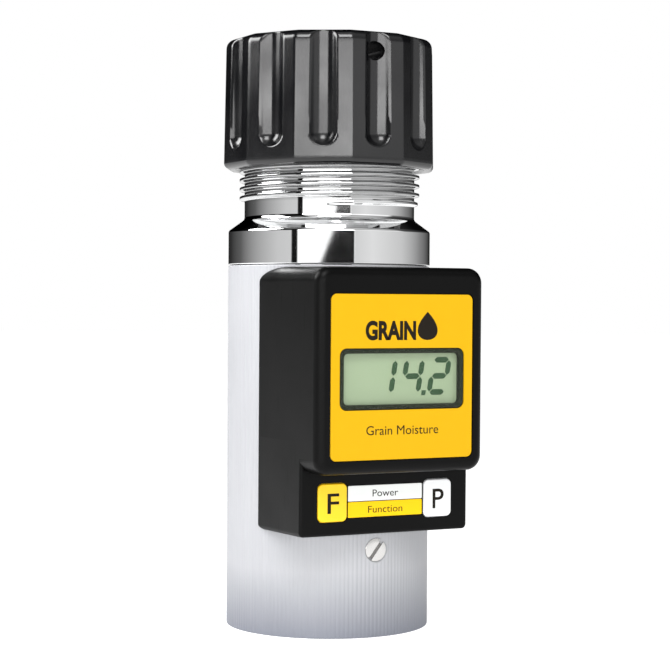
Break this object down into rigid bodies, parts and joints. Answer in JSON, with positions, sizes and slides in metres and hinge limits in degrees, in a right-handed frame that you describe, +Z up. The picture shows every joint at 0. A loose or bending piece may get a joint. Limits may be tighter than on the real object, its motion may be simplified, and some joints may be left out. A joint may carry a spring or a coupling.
{
  "type": "grain moisture meter",
  "caption": "Hand-held grain moisture meter: threaded metal sample cup in a ribbed tube, fluted screw lid with a spring press, and a front housing with display and keys.",
  "frame": {"origin": "centre of the flat foot, on the tube's axis", "axes": "+Z up along the tube's axis, display faces -Y, +X to the right seen from the front"},
  "size_m": [0.0724, 0.088, 0.2018],
  "materials": {
    "ribbed_aluminium": "satin, finely ribbed lengthways",
    "polished_plating": "mirror polished plating",
    "lid_plastic": "semi-gloss moulded plastic",
    "housing_plastic": "fine-textured moulded plastic",
    "label": "printed film, semi-gloss",
    "yellow_key": "printed key, semi-gloss",
    "white_key": "printed key, semi-gloss",
    "legend": "printed film, white over yellow",
    "window": "clear, dark printed border",
    "display_glass": "reflective grey-green display",
    "insulator": "machined plastic",
    "steel": "bright zinc plated",
    "brass": "turned, semi-polished",
    "indicator": "semi-gloss",
    "circuit_board": "solder mask",
    "component_plastic": "moulded",
    "contact_rubber": "matte",
    "battery_jacket": "printed sleeve, gloss"
  },
  "bodies": {
    "meter_body": {"base_cap": "housing_plastic", "base_screw_front": "steel", "base_screw_rear": "steel", "battery": "battery_jacket", "battery_snap": "component_plastic", "board_header": "component_plastic", "body_tube": "ribbed_aluminium", "centre_electrode": "polished_plating", "chamber_floor": "insulator", "contact_strip_lower": "contact_rubber", "contact_strip_upper": "contact_rubber", "display_board": "circuit_board", "display_board_screw_1": "steel", "display_board_screw_2": "steel", "display_board_screw_3": "steel", "display_board_screw_4": "steel", "electrode_nut": "steel", "electrode_washer": "steel", "f_key_switch": "component_plastic", "floor_screw_1": "steel", "floor_screw_2": "steel", "floor_screw_3": "steel", "housing_back": "housing_plastic", "housing_screw_1": "steel", "housing_screw_2": "steel", "housing_shell": "housing_plastic", "key_board": "circuit_board", "label_plate": "label", "lcd_holder": "insulator", "lcd_panel": "display_glass", "legend_strip": "legend", "measuring_board": "circuit_board", "measuring_board_screw_1": "steel", "measuring_board_screw_2": "steel", "measuring_board_screw_3": "steel", "microcontroller": "component_plastic", "p_key_switch": "component_plastic", "temperature_probe": "steel", "threaded_cup": "polished_plating", "window_lens": "window"},
    "lid_carrier": {"thrust_washer": "steel", "piston_spring": "steel"},
    "lid": {"lid_shell": "lid_plastic", "stem_bush": "brass"},
    "press": {"pressure_plate": "insulator", "piston_stem": "steel", "plate_screw": "steel", "indicator_button": "indicator"},
    "f_key": {"f_key": "yellow_key"},
    "p_key": {"p_key": "white_key"}
  },
  "joints": [
    {"name": "lid_travel", "type": "slide", "parent": "meter_body", "child": "lid_carrier", "axis": [0, 0, 1], "range_m": [-0.0168, 0.05]},
    {"name": "lid_turn", "type": "hinge", "parent": "lid_carrier", "child": "lid", "pos_m": [0, 0, 0.19], "axis": [0, 0, 1], "range_deg": [-1940, 5800]},
    {"name": "press_slide", "type": "slide", "parent": "lid_carrier", "child": "press", "axis": [0, 0, 1], "range_m": [0, 0.0065], "stiffness_N_per_m": 3000, "springref_m": -0.002, "deforming": ["piston_spring"]},
    {"name": "f_key_press", "type": "slide", "parent": "meter_body", "child": "f_key", "axis": [0, 1, 0], "range_m": [0, 0.0006], "stiffness_N_per_m": 2500, "springref_m": -0.0004},
    {"name": "p_key_press", "type": "slide", "parent": "meter_body", "child": "p_key", "axis": [0, 1, 0], "range_m": [0, 0.0006], "stiffness_N_per_m": 2500, "springref_m": -0.0004}
  ],
  "couplings": [
    {"joint": "lid_travel", "follows": "lid_turn", "m_per_rad": 0.00049338}
  ]
}
